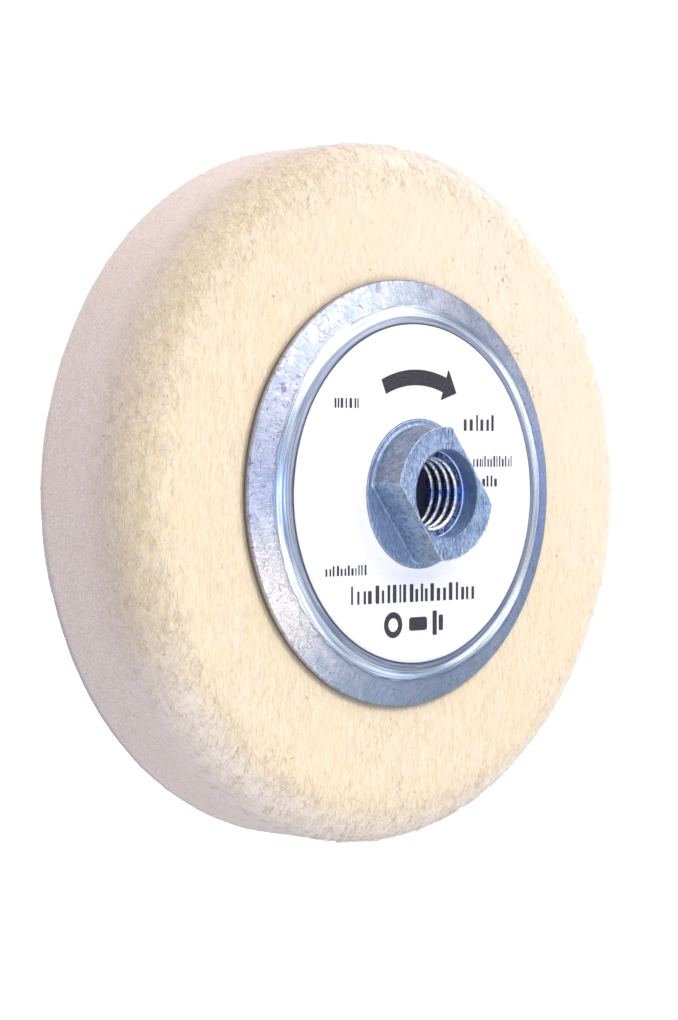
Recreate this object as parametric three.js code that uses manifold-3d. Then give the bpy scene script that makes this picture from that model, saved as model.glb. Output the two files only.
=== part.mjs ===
// Felt polishing wheel for an angle grinder: a 125 x 25 mm wool felt disc bonded to a
// zinc die-cast carrier flange, whose hub screws on to an M14 x 2 spindle.
//
// Millimetres. The wheel stands on edge: its spin axis is the Y axis, the hub faces -Y and
// +Z is up. The origin is on the spin axis, at the front face of the hub, which is the face
// that comes to rest against the spindle's shoulder. Depths run along +Y from there.

import * as THREE from 'three';
import { mergeVertices } from 'three/addons/utils/BufferGeometryUtils.js';
import Module from 'manifold-3d';

const wasm = await Module();
wasm.setup();

// Felt disc
const FELT_RADIUS = 62.5;
const FELT_THICKNESS = 25;
const SHOULDER_RADIUS = 8; // large rounding of the hub-side edge
const WORKING_EDGE_RADIUS = 2; // small rounding of the working-face edge
const POCKET_RADIUS = 9; // room for the end of the spindle
const POCKET_DEPTH = 10;

// Carrier flange, a shallow cone that rises from its rim to the label
const FLANGE_RADIUS = 38;
const RIM_HEIGHT = 0.9;
const RIM_BEVEL = 0.25;
const CAST_RING_INNER_RADIUS = 33.7;
const CAST_RING_RISE = 1.4;
const TURNED_BAND_INNER_RADIUS = 31.5;
const TURNED_BAND_RISE = 1.1;
const TURNED_BAND_HOLLOW = 0.12; // how far the band curves in from a straight cone
const SEAT_RADIUS = 30.3; // flat seat for the label, inside a gently sloping ring
const SEAT_RING_RISE = 0.35;

// Hub, cast in one piece with the flange
const HUB_HEIGHT = 7.4; // from the label's face to the hub's front face
const HUB_RADIUS = 11.85;
const HUB_DRAFT = 0.15; // how much wider the hub is at its foot
const HUB_EDGE_BEVEL = 0.3;
const FOOT_FILLET_RADIUS = 0.6; // between the hub and its collar
const COLLAR_RADIUS = 13.2;
const COLLAR_HEIGHT = 0.8; // above the label's face
const COLLAR_BEVEL = 0.2;
const ACROSS_FLATS = 16.4; // two flats for a 17 mm open-ended spanner, cut down to the collar
const FLAT_TURN = THREE.MathUtils.degToRad(37.5); // turn of the flats about the spin axis

// Spindle thread, M14 x 2, behind a counterbore
const COUNTERBORE_RADIUS = 7.75;
const COUNTERBORE_DEPTH = 3.5;
const COUNTERBORE_BEVEL = 0.1;
const LEAD_IN_RADIUS = 7.3;
const LEAD_IN_END_RADIUS = 5.72; // just inside the tips of the thread
const LEAD_IN_DEPTH = 0.7;
const THREAD_MAJOR_RADIUS = 7;
const THREAD_MINOR_RADIUS = 5.92;
const THREAD_PITCH = 2;
const THREAD_ROOT_WIDTH = THREAD_PITCH / 8; // the metric form's flat at the major radius
const THREAD_FLANK_WIDTH = (5 / 16) * THREAD_PITCH;
const THREAD_STEPS = 40; // steps in one turn of the thread

// Label and adhesive
const LABEL_RADIUS = 30;
const LABEL_HOLE_RADIUS = 13.5;
const LABEL_THICKNESS = 0.15;
const ADHESIVE_RADIUS = 37.4;
const ADHESIVE_THICKNESS = 0.3;

// Depths of the faces
const LABEL_FACE = HUB_HEIGHT;
const LABEL_SEAT = LABEL_FACE + LABEL_THICKNESS;
const COLLAR_TOP = LABEL_FACE - COLLAR_HEIGHT;
const TURNED_BAND_TOP = LABEL_SEAT + SEAT_RING_RISE;
const CAST_RING_TOP = TURNED_BAND_TOP + TURNED_BAND_RISE;
const RIM_TOP = CAST_RING_TOP + CAST_RING_RISE;
const FLANGE_BACK = RIM_TOP + RIM_HEIGHT;
const FELT_FRONT = FLANGE_BACK + ADHESIVE_THICKNESS;
const FELT_BACK = FELT_FRONT + FELT_THICKNESS;

const ROUND_SEGMENTS = 72;
const OVERRUN = 2; // how far cutting shapes run past the faces that they cut

function point(radius, depth) {
  return new THREE.Vector2(radius, depth);
}

// The solid that a profile of (radius, depth) points sweeps about the spin axis.
function turned(profile) {
  return new THREE.LatheGeometry(profile, ROUND_SEGMENTS);
}

// Points on an arc in the profile plane, both ends included.
function arcPoints(centreRadius, centreDepth, radius, startDegrees, endDegrees, steps) {
  const points = [];
  for (let step = 0; step <= steps; step += 1) {
    const degrees = THREE.MathUtils.lerp(startDegrees, endDegrees, step / steps);
    const angle = THREE.MathUtils.degToRad(degrees);
    points.push(point(centreRadius + radius * Math.cos(angle), centreDepth + radius * Math.sin(angle)));
  }
  return points;
}

function toManifold(geometry) {
  const bare = geometry.clone();
  bare.deleteAttribute('normal');
  bare.deleteAttribute('uv');
  const merged = mergeVertices(bare, 1e-4);
  const vertProperties = new Float32Array(merged.attributes.position.array);
  const triVerts = new Uint32Array(merged.index.array);
  return new wasm.Manifold(new wasm.Mesh({ numProp: 3, vertProperties, triVerts }));
}

function toGeometry(manifold) {
  const mesh = manifold.getMesh();
  const geometry = new THREE.BufferGeometry();
  geometry.setAttribute('position', new THREE.BufferAttribute(mesh.vertProperties, 3));
  geometry.setIndex(new THREE.BufferAttribute(mesh.triVerts, 1));
  geometry.computeVertexNormals();
  return geometry;
}

function feltDisc() {
  const shoulder = arcPoints(
    FELT_RADIUS - SHOULDER_RADIUS,
    FELT_FRONT + SHOULDER_RADIUS,
    SHOULDER_RADIUS,
    -90,
    0,
    8,
  );
  const workingEdge = arcPoints(
    FELT_RADIUS - WORKING_EDGE_RADIUS,
    FELT_BACK - WORKING_EDGE_RADIUS,
    WORKING_EDGE_RADIUS,
    0,
    90,
    3,
  );
  return turned([
    point(0, FELT_FRONT + POCKET_DEPTH),
    point(POCKET_RADIUS, FELT_FRONT + POCKET_DEPTH),
    point(POCKET_RADIUS, FELT_FRONT),
    ...shoulder,
    ...workingEdge,
    point(0, FELT_BACK),
  ]);
}

// A flat ring between two radii and two depths.
function flatRing(innerRadius, outerRadius, front, back) {
  return turned([
    point(innerRadius, front),
    point(outerRadius, front),
    point(outerRadius, back),
    point(innerRadius, back),
    point(innerRadius, front),
  ]);
}

// The turned band between the cast ring and the label's seat, hollowed a little.
function turnedBandPoints() {
  const start = point(TURNED_BAND_INNER_RADIUS, TURNED_BAND_TOP);
  const end = point(CAST_RING_INNER_RADIUS, CAST_RING_TOP);
  const middle = start.clone().lerp(end, 0.5);
  middle.y += 2 * TURNED_BAND_HOLLOW;
  return new THREE.QuadraticBezierCurve(start, middle, end).getPoints(3);
}

// Flange and hub before the bore, thread and flats are cut.
function flangeBlank() {
  const footRadius = HUB_RADIUS + HUB_DRAFT;
  const footFillet = arcPoints(
    footRadius + FOOT_FILLET_RADIUS,
    COLLAR_TOP - FOOT_FILLET_RADIUS,
    FOOT_FILLET_RADIUS,
    180,
    90,
    3,
  );
  return turned([
    point(0, 0),
    point(HUB_RADIUS - HUB_EDGE_BEVEL, 0),
    point(HUB_RADIUS, HUB_EDGE_BEVEL),
    ...footFillet,
    point(COLLAR_RADIUS - COLLAR_BEVEL, COLLAR_TOP),
    point(COLLAR_RADIUS, COLLAR_TOP + COLLAR_BEVEL),
    point(COLLAR_RADIUS, LABEL_SEAT),
    point(SEAT_RADIUS, LABEL_SEAT),
    ...turnedBandPoints(),
    point(FLANGE_RADIUS - RIM_BEVEL, RIM_TOP),
    point(FLANGE_RADIUS, RIM_TOP + RIM_BEVEL),
    point(FLANGE_RADIUS, FLANGE_BACK),
    point(0, FLANGE_BACK),
  ]);
}

function counterboreCutter() {
  return turned([
    point(0, -OVERRUN),
    point(COUNTERBORE_RADIUS + COUNTERBORE_BEVEL + OVERRUN, -OVERRUN),
    point(COUNTERBORE_RADIUS, COUNTERBORE_BEVEL),
    point(COUNTERBORE_RADIUS, COUNTERBORE_DEPTH),
    point(LEAD_IN_RADIUS, COUNTERBORE_DEPTH),
    point(LEAD_IN_END_RADIUS, COUNTERBORE_DEPTH + LEAD_IN_DEPTH),
    point(0, COUNTERBORE_DEPTH + LEAD_IN_DEPTH),
  ]);
}

// Everything outside one spanner flat, from in front of the hub down to the collar.
function flatCutter(side) {
  const thickness = 2 * COLLAR_RADIUS;
  const cutter = new THREE.BoxGeometry(thickness, COLLAR_TOP + OVERRUN, 4 * COLLAR_RADIUS);
  cutter.translate((side * (ACROSS_FLATS + thickness)) / 2, (COLLAR_TOP - OVERRUN) / 2, 0);
  return cutter.rotateY(-FLAT_TURN);
}

// A rod with a right-hand thread. Four helical lines carry the edges of the thread form, and
// the fourth line's neighbour is the first line, one turn further along.
function threadedRod(start, end) {
  const form = [
    point(THREAD_MAJOR_RADIUS, 0),
    point(THREAD_MAJOR_RADIUS, THREAD_ROOT_WIDTH),
    point(THREAD_MINOR_RADIUS, THREAD_ROOT_WIDTH + THREAD_FLANK_WIDTH),
    point(THREAD_MINOR_RADIUS, THREAD_PITCH - THREAD_FLANK_WIDTH),
  ];
  const turns = Math.ceil((end - start) / THREAD_PITCH);
  const lastStep = turns * THREAD_STEPS;

  const positions = [];
  for (let step = 0; step <= lastStep + THREAD_STEPS; step += 1) {
    const angle = (2 * Math.PI * step) / THREAD_STEPS;
    const advance = start + (THREAD_PITCH * step) / THREAD_STEPS;
    for (const corner of form) {
      positions.push(corner.x * Math.sin(angle), advance + corner.y, corner.x * Math.cos(angle));
    }
  }
  const startCentre = positions.length / 3;
  const endCentre = startCentre + 1;
  positions.push(0, start - THREAD_PITCH, 0);
  positions.push(0, start + (turns + 2) * THREAD_PITCH, 0);

  const vertex = (step, line) =>
    line < form.length ? step * form.length + line : (step + THREAD_STEPS) * form.length;
  const triangles = [];
  for (let step = 0; step < lastStep; step += 1) {
    for (let line = 0; line < form.length; line += 1) {
      const here = vertex(step, line);
      const ahead = vertex(step + 1, line);
      const hereNext = vertex(step, line + 1);
      const aheadNext = vertex(step + 1, line + 1);
      triangles.push(here, ahead, aheadNext, here, aheadNext, hereNext);
    }
  }
  for (let line = 0; line < form.length; line += 1) {
    triangles.push(startCentre, vertex(0, line), vertex(0, line + 1));
    triangles.push(endCentre, vertex(lastStep, line + 1), vertex(lastStep, line));
  }
  for (let step = 0; step < THREAD_STEPS; step += 1) {
    triangles.push(startCentre, vertex(step + 1, 0), vertex(step, 0));
    triangles.push(endCentre, vertex(lastStep + step, 0), vertex(lastStep + step + 1, 0));
  }
  const rod = new THREE.BufferGeometry();
  rod.setAttribute('position', new THREE.Float32BufferAttribute(positions, 3));
  rod.setIndex(triangles);
  return rod;
}

function carrierFlange() {
  const threadStart = COUNTERBORE_DEPTH - OVERRUN;
  const threadEnd = FLANGE_BACK + OVERRUN;
  const cutters = [
    counterboreCutter(),
    flatCutter(-1),
    flatCutter(1),
    threadedRod(threadStart, threadEnd),
  ];
  let casting = toManifold(flangeBlank());
  for (const cutter of cutters) {
    casting = casting.subtract(toManifold(cutter));
  }
  return toGeometry(casting);
}

const finishes = {
  felt: new THREE.MeshStandardMaterial({ color: 0xefe0c6, roughness: 0.95, metalness: 0 }),
  zinc: new THREE.MeshStandardMaterial({ color: 0x9fb1c4, roughness: 0.4, metalness: 1 }),
  paper: new THREE.MeshStandardMaterial({ color: 0xf6f6f4, roughness: 0.6, metalness: 0 }),
  adhesive: new THREE.MeshStandardMaterial({ color: 0x8a7a62, roughness: 0.5, metalness: 0 }),
};

function part(name, geometry, finish) {
  const mesh = new THREE.Mesh(geometry, finish);
  mesh.name = name;
  return mesh;
}

const wheel = new THREE.Group();
wheel.add(part('felt_disc', feltDisc(), finishes.felt));
wheel.add(part('carrier_flange', carrierFlange(), finishes.zinc));
wheel.add(
  part('label', flatRing(LABEL_HOLE_RADIUS, LABEL_RADIUS, LABEL_FACE, LABEL_SEAT), finishes.paper),
);
wheel.add(
  part(
    'adhesive_film',
    flatRing(POCKET_RADIUS, ADHESIVE_RADIUS, FLANGE_BACK, FELT_FRONT),
    finishes.adhesive,
  ),
);

export default wheel;
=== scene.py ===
"""Looks of a felt polishing wheel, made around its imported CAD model.

The model is in metres, in the CAD model's frame: the spin axis is Y, the hub faces -Y and +Z
is up. Sizes here are in millimetres unless they say otherwise. The felt, the casting, the label
and the adhesive are meshes of rings about the spin axis, and the fibres, lint and print are
small shapes on them. Colour, grain and fine relief are in procedural materials.
"""

import math

import bpy
import numpy as np
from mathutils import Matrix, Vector, noise


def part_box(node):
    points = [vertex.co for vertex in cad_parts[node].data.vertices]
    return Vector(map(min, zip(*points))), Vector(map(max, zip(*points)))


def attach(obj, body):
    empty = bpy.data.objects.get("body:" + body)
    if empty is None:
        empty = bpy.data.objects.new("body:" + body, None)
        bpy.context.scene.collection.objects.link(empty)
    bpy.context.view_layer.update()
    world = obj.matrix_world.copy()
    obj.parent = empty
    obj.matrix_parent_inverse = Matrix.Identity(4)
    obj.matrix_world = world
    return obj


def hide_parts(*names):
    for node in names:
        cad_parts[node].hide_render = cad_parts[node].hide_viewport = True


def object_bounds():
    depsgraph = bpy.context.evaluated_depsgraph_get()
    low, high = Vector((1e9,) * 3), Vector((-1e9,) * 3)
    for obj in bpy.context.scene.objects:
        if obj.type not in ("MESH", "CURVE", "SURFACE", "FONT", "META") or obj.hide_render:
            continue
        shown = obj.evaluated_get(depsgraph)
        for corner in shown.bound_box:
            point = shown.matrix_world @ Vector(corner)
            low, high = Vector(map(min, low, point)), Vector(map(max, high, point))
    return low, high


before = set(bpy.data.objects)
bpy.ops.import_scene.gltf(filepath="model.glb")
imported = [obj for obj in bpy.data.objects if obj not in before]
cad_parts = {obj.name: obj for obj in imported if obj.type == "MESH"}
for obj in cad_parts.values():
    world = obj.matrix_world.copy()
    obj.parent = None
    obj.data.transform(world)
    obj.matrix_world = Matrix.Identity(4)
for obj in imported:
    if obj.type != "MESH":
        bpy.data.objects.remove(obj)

MM = 0.001

cad_low, cad_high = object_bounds()
felt_low, felt_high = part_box("felt_disc")
flange_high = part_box("carrier_flange")[1]
label_low, label_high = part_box("label")
film_low, film_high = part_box("adhesive_film")

# Sizes that come from the CAD model, in millimetres
FELT_RADIUS = felt_high.x / MM
FELT_FRONT = felt_low.y / MM
FELT_BACK = felt_high.y / MM
FLANGE_RADIUS = flange_high.x / MM
FLANGE_BACK = flange_high.y / MM
LABEL_RADIUS = label_high.x / MM
LABEL_FACE = label_low.y / MM
LABEL_SEAT = label_high.y / MM
FILM_RADIUS = film_high.x / MM
FILM_FRONT = film_low.y / MM
FILM_BACK = film_high.y / MM

# Sizes inside the CAD model's outlines, in millimetres
SHOULDER_RADIUS = 8
WORKING_EDGE_RADIUS = 2
POCKET_RADIUS = 9
POCKET_DEPTH = 10
CAST_RING_INNER_RADIUS = 33.7
CAST_RING_RISE = 1.4
TURNED_BAND_INNER_RADIUS = 31.5
TURNED_BAND_HOLLOW = 0.12
SEAT_RADIUS = 30.3
SEAT_RING_RISE = 0.35
RIM_BEVEL = 0.25
RIM_HEIGHT = 0.9
HUB_HEIGHT = 7.4
HUB_RADIUS = 11.85
HUB_DRAFT = 0.15
FOOT_FILLET = 0.6
COLLAR_RADIUS = 13.2
COLLAR_HEIGHT = 0.8
HALF_ACROSS_FLATS = 8.2
FLAT_DRAFT = 0.4  # how much further out the flats are at the hub's foot
FLAT_ANGLE = math.radians(52.5)  # turn of the spanner flats about the spin axis
COUNTERBORE_RADIUS = 7.75
COUNTERBORE_DEPTH = 3.5
LEAD_IN_RADIUS = 7.3
THREAD_MAJOR_RADIUS = 7.0
THREAD_MINOR_RADIUS = 5.92
THREAD_PITCH = 2.0
THREAD_START = 0.6  # shifts the thread along its axis, to match the photo
LEAD_IN_SLOPE = 5  # change of radius for each millimetre of depth
LABEL_HOLE_RADIUS = 13.28
INK_RISE = 0.02
COLLAR_TOP = LABEL_FACE - COLLAR_HEIGHT
RIM_TOP = FLANGE_BACK - RIM_HEIGHT

# The turned band is cut a little wider on one side of the cast cone, and has fine grooves
BAND_EDGE_RADIUS = 33.35
BAND_EDGE_SWING = 1.75
BAND_EDGE_TURN = math.radians(97)
BAND_GROOVES = 4

# Where the cast skin has a painted warm reflection, as a turn about the spin axis from +Z towards +X
WARM_REFLECTION_TURN = math.radians(-119)

rng = np.random.default_rng(7)


# -------- camera, floor and light

VIEW_AZIMUTH = math.radians(-44.33)
VIEW_ELEVATION = math.radians(1.11)
VIEW_DISTANCE = 0.5127
AIM_RIGHT = -0.0190
AIM_UP = -0.0028
LENS_MM = 103.06


def view_axes():
    """The camera's right, up and backward directions."""
    backward = Vector((
        math.sin(VIEW_AZIMUTH) * math.cos(VIEW_ELEVATION),
        -math.cos(VIEW_AZIMUTH) * math.cos(VIEW_ELEVATION),
        math.sin(VIEW_ELEVATION),
    ))
    right = Vector((math.cos(VIEW_AZIMUTH), math.sin(VIEW_AZIMUTH), 0))
    return right, backward.cross(right), backward


def add_camera():
    right, up, backward = view_axes()
    data = bpy.data.cameras.new("camera")
    data.lens = LENS_MM
    data.clip_start = 0.01
    camera = bpy.data.objects.new("camera", data)
    camera.location = right * AIM_RIGHT + up * AIM_UP + backward * VIEW_DISTANCE
    camera.rotation_euler = backward.to_track_quat("Z", "Y").to_euler()
    bpy.context.scene.collection.objects.link(camera)
    bpy.context.scene.camera = camera


# The room's brightness by height: sine of elevation, then colour at half brightness
ROOM_BY_HEIGHT = (
    (-1.0, (0.20, 0.21, 0.25)),
    (-0.50, (0.16, 0.19, 0.26)),
    (-0.11, (0.13, 0.16, 0.23)),
    (-0.08, (0.27, 0.34, 0.58)),
    (0.08, (0.27, 0.34, 0.58)),
    (0.11, (0.15, 0.17, 0.24)),
    (0.40, (0.24, 0.25, 0.30)),
    (1.0, (0.42, 0.41, 0.45)),
)

# Soft patches of light: direction, cosine where it starts, cosine where it is full, colour, strength
SOFT_LIGHTS = (
    ((0.375, -0.705, 0.602), 0.84, 0.94, (1.0, 0.94, 0.88), 1.90),
    ((-0.50, -0.75, 0.45), 0.50, 1.0, (1.0, 0.94, 0.86), 0.45),
    ((0.06, -0.93, -0.38), 0.945, 0.985, (1.0, 0.88, 0.72), 2.70),
    ((0.94, 0.02, -0.36), 0.97, 0.993, (1.0, 0.97, 0.92), 1.80),
    ((0.98, 0.10, 0.16), 0.984, 0.997, (1.0, 1.0, 0.95), 2.00),
    ((0.94, 0.33, 0.09), 0.75, 1.0, (1.0, 0.93, 0.85), 0.70),
    ((0.62, -0.17, 0.77), 0.92, 1.0, (1.0, 0.93, 0.88), 1.30),
    ((-0.19, -0.98, 0.0), 0.9925, 0.998, (0.92, 0.95, 1.0), 2.20),
    ((-0.45, -0.89, 0.0), 0.985, 1.0, (0.10, 0.30, 1.0), 2.00),
    ((-1.0, -0.2, 0.3), 0.30, 1.0, (1.0, 0.82, 0.95), 0.14),
    ((0.59, -0.49, -0.64), 0.975, 0.995, (0.78, 0.92, 1.0), 0.60),
    ((0.0, -0.45, -0.9), 0.30, 1.0, (1.0, 0.93, 0.92), 0.58),
    ((0.15, 0.98, 0.0), 0.40, 1.0, (1.0, 0.96, 0.88), 0.85),
)


def room_glow(graph, direction):
    """The room's own brightness, with a bright band at eye height."""
    height = graph.node("MapRange", {"Value": graph.split(direction)["Z"], "From Min": -1})
    shade = graph.node("ValToRGB", {"Fac": height.outputs[0]})
    stops = shade.color_ramp.elements
    while len(stops) < len(ROOM_BY_HEIGHT):
        stops.new(0.5)
    for stop, (sine, colour) in zip(stops, ROOM_BY_HEIGHT):
        stop.position = (sine + 1) / 2
        stop.color = (*colour, 1)
    return graph.node("Background", {"Color": shade.outputs["Color"], "Strength": 2.0})


def soft_light(graph, direction, towards, start, full, colour, strength):
    """A soft round patch of light in the room."""
    dot = graph.node("VectorMath", {0: direction})
    dot.operation = "DOT_PRODUCT"
    dot.inputs[1].default_value = Vector(towards).normalized()
    fade = graph.spread(dot.outputs["Value"], start, full, 0.0, strength)
    return graph.node("Background", {"Color": colour, "Strength": fade})


def add_world():
    """White to the camera, and a softly lit studio room in the light that reaches the wheel."""
    world = bpy.data.worlds.new("studio")
    bpy.context.scene.world = world
    world.use_nodes = True
    world.node_tree.nodes.clear()
    graph = Graph(world)
    direction = graph.node("TexCoord", {}).outputs["Generated"]
    room = room_glow(graph, direction)
    for light in SOFT_LIGHTS:
        patch = soft_light(graph, direction, *light)
        room = graph.node("AddShader", {0: room.outputs[0], 1: patch.outputs[0]})
    backdrop = graph.node("Background", {"Color": (1, 1, 1), "Strength": 1.05}).outputs[0]
    to_camera = graph.node("LightPath", {}).outputs["Is Camera Ray"]
    choose = graph.node("MixShader", {0: to_camera, 1: room.outputs[0], 2: backdrop})
    graph.node("OutputWorld", {"Surface": choose.outputs[0]})


def new_material(name, roughness, metallic=0.0):
    material = bpy.data.materials.new(name)
    material.use_nodes = True
    shader = material.node_tree.nodes["Principled BSDF"]
    shader.inputs["Roughness"].default_value = roughness
    shader.inputs["Metallic"].default_value = metallic
    return material, shader


def add_mesh(name, points, faces, smooth):
    """A new object in the scene, from points in millimetres."""
    mesh = bpy.data.meshes.new(name)
    mesh.from_pydata((np.array(points) * MM).tolist(), [], faces)
    mesh.polygons.foreach_set("use_smooth", np.full(len(faces), smooth))
    mesh.update()
    piece = bpy.data.objects.new(name, mesh)
    bpy.context.scene.collection.objects.link(piece)
    return piece


FLOOR_SIZE = 1600
FLOOR_GAP = 0.6


def add_floor():
    """A white floor just under the wheel, which neither lights it nor shows in its metal."""
    half = FLOOR_SIZE / 2
    corners = [(-half, -half, 0), (half, -half, 0), (half, half, 0), (-half, half, 0)]
    floor = add_mesh("floor", corners, [(0, 1, 2, 3)], False)
    floor.location.z = cad_low.z - FLOOR_GAP * MM
    material, shader = new_material("floor", 0.9)
    shader.inputs["Base Color"].default_value = (0.9, 0.9, 0.9, 1)
    shader.inputs["Emission Color"].default_value = (1, 1, 1, 1)
    shader.inputs["Emission Strength"].default_value = 0.8
    floor.data.materials.append(material)
    floor.visible_glossy = False
    floor.visible_diffuse = False


# -------- meshes of rings


def rings_mesh(name, radius, depth, closes, material_of_ring=None):
    """A mesh of rings about the spin axis, in millimetres.

    radius and depth have one row for each ring and one column for each angle. The last ring
    joins the first if closes is true, and otherwise a point on the axis caps each end.
    """
    ring_count, columns = radius.shape
    angle = np.arange(columns) * 2 * math.pi / columns
    points = np.stack([radius * np.sin(angle), depth, radius * np.cos(angle)], -1).reshape(-1, 3)
    faces = []
    ring_of_face = []
    last = ring_count if closes else ring_count - 1
    here = np.arange(columns)
    ahead = (here + 1) % columns
    for ring in range(last):
        low = ring * columns
        high = ((ring + 1) % ring_count) * columns
        quads = np.stack([low + here, low + ahead, high + ahead, high + here], -1)
        faces.extend(quads.tolist())
        ring_of_face.extend([ring] * columns)
    if not closes:
        start, end = len(points), len(points) + 1
        caps = [[0, depth[0].mean(), 0], [0, depth[-1].mean(), 0]]
        points = np.concatenate([points, caps])
        low = (ring_count - 1) * columns
        faces.extend(np.stack([np.full(columns, start), ahead, here], -1).tolist())
        faces.extend(np.stack([np.full(columns, end), low + here, low + ahead], -1).tolist())
        ring_of_face.extend([0] * columns + [ring_count - 1] * columns)
    piece = add_mesh(name, points, faces, True)
    if material_of_ring is not None:
        slots = np.array([material_of_ring[ring] for ring in ring_of_face], np.int32)
        piece.data.polygons.foreach_set("material_index", slots)
        piece.data.update()
    return piece


def vectors_of(parts, name):
    """One row of three numbers for each vertex or face of a mesh."""
    values = np.empty(len(parts) * 3)
    parts.foreach_get(name, values)
    return values.reshape(-1, 3)


def noise_at(points, wavelength, seed):
    """Smooth noise from about -1 to 1 at points in millimetres."""
    shift = Vector((seed * 17.3, seed * 9.1, seed * 5.7))
    return np.array([noise.noise(Vector(p) / wavelength + shift) for p in points])


def arc(centre, radius, start, end, steps):
    """(radius, depth) points on an arc in the profile plane, from start to end in degrees."""
    angles = np.radians(np.linspace(start, end, steps))
    return [(centre[0] + radius * math.cos(a), centre[1] + radius * math.sin(a)) for a in angles]


def line(start, end, spacing):
    """(radius, depth) points from start up to, but not including, end."""
    steps = max(1, round(math.dist(start, end) / spacing))
    shares = np.arange(steps) / steps
    return [tuple(np.array(start) * (1 - s) + np.array(end) * s) for s in shares]


def finish_piece(piece, node, materials):
    for material in materials:
        piece.data.materials.append(material)
    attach(piece, "root")
    if node:
        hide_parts(node)


# -------- felt

# Dents in the felt's front: x, z, radius and depth in millimetres
DENTS = (
    (26.3, 40.6, 1.6, 0.35),
    (5.1, 38.9, 0.7, 0.20),
    (-0.6, -52.6, 1.1, 0.45),
    (-29.9, -46.0, 1.4, 0.35),
    (-1.2, -41.4, 0.6, 0.25),
    (-38.6, -35.5, 0.6, 0.25),
    (33.0, -38.0, 0.9, 0.25),
)


def felt_profile():
    """The felt's outline, from the bottom of its pocket round to the middle of its back."""
    shoulder_start = (FELT_RADIUS - SHOULDER_RADIUS, FELT_FRONT)
    shoulder_centre = (FELT_RADIUS - SHOULDER_RADIUS, FELT_FRONT + SHOULDER_RADIUS)
    edge_centre = (FELT_RADIUS - WORKING_EDGE_RADIUS, FELT_BACK - WORKING_EDGE_RADIUS)
    wall_start = (FELT_RADIUS, FELT_FRONT + SHOULDER_RADIUS)
    wall_end = (FELT_RADIUS, FELT_BACK - WORKING_EDGE_RADIUS)
    pocket_bottom = FELT_FRONT + POCKET_DEPTH
    return (
        line((1.5, pocket_bottom), (POCKET_RADIUS, pocket_bottom), 1.5)
        + line((POCKET_RADIUS, pocket_bottom), (POCKET_RADIUS, FELT_FRONT), 1.0)
        + line((POCKET_RADIUS, FELT_FRONT), (FLANGE_RADIUS - 1, FELT_FRONT), 3.5)
        + line((FLANGE_RADIUS - 1, FELT_FRONT), shoulder_start, 0.55)
        + arc(shoulder_centre, SHOULDER_RADIUS, -90, 0, 25)[:-1]
        + line(wall_start, wall_end, 0.6)
        + arc(edge_centre, WORKING_EDGE_RADIUS, 0, 90, 8)
        + line((FELT_RADIUS - WORKING_EDGE_RADIUS - 0.8, FELT_BACK), (8, FELT_BACK), 1.3)
        + line((8, FELT_BACK), (1.5, FELT_BACK), 2.0)
    )


def rise(value, low, high):
    """0 below low, 1 above high and smooth between."""
    share = np.clip((value - low) / (high - low), 0, 1)
    return share * share * (3 - 2 * share)


def on_shoulder(points):
    """1 on the rounded front shoulder and 0 away from it, for points in millimetres."""
    radius = np.hypot(points[:, 0], points[:, 2])
    shoulder = rise(radius, FELT_RADIUS - SHOULDER_RADIUS - 3, FELT_RADIUS - SHOULDER_RADIUS + 3)
    return shoulder * (1 - rise(points[:, 1], FELT_FRONT + 5, FELT_FRONT + SHOULDER_RADIUS + 3))


def roughen_felt(felt):
    """Gives the felt its soft lumps, the tufts on its shoulder and a few dents."""
    vertices = felt.data.vertices
    points = vectors_of(vertices, "co") / MM
    normals = vectors_of(vertices, "normal")
    radius = np.hypot(points[:, 0], points[:, 2])
    free = rise(radius, FLANGE_RADIUS - 0.5, FLANGE_RADIUS + 1.5)
    shoulder = on_shoulder(points)
    lumps = 0.15 + 0.14 * noise_at(points, 16, 1) + 0.06 * noise_at(points, 5, 2)
    tufts = noise_at(points * (1.0, 1.0, 0.45), 1.1, 3)
    fuzz = noise_at(points, 0.75, 4)
    shift = lumps + tufts * (0.04 + 0.10 * shoulder) + fuzz * (0.02 + 0.06 * shoulder)
    shift *= np.where(points[:, 1] < FELT_BACK - 1, free, 0.5)
    in_front = points[:, 1] < FELT_FRONT + SHOULDER_RADIUS
    for x, z, width, depth in DENTS:
        away = np.hypot(points[:, 0] - x, points[:, 2] - z) / width
        shift -= in_front * depth * np.exp(-away * away)
    vertices.foreach_set("co", ((points + normals * shift[:, None]) * MM).reshape(-1))
    felt.data.update()


FELT_COLUMNS = 600
FLANGE_COLUMNS = 400
LABEL_COLUMNS = 300
FILM_COLUMNS = 240


def add_felt():
    profile = np.array(felt_profile())
    radius = np.repeat(profile[:, :1], FELT_COLUMNS, 1)
    depth = np.repeat(profile[:, 1:], FELT_COLUMNS, 1)
    felt = rings_mesh("felt_wheel", radius, depth, False)
    roughen_felt(felt)
    finish_piece(felt, "felt_disc", [felt_material()])
    return felt


# -------- loose fibres on the felt


def face_places(felt):
    """Centre in millimetres, and outward direction, of each face of the felt."""
    faces = felt.data.polygons
    return vectors_of(faces, "center") / MM, vectors_of(faces, "normal")


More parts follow.
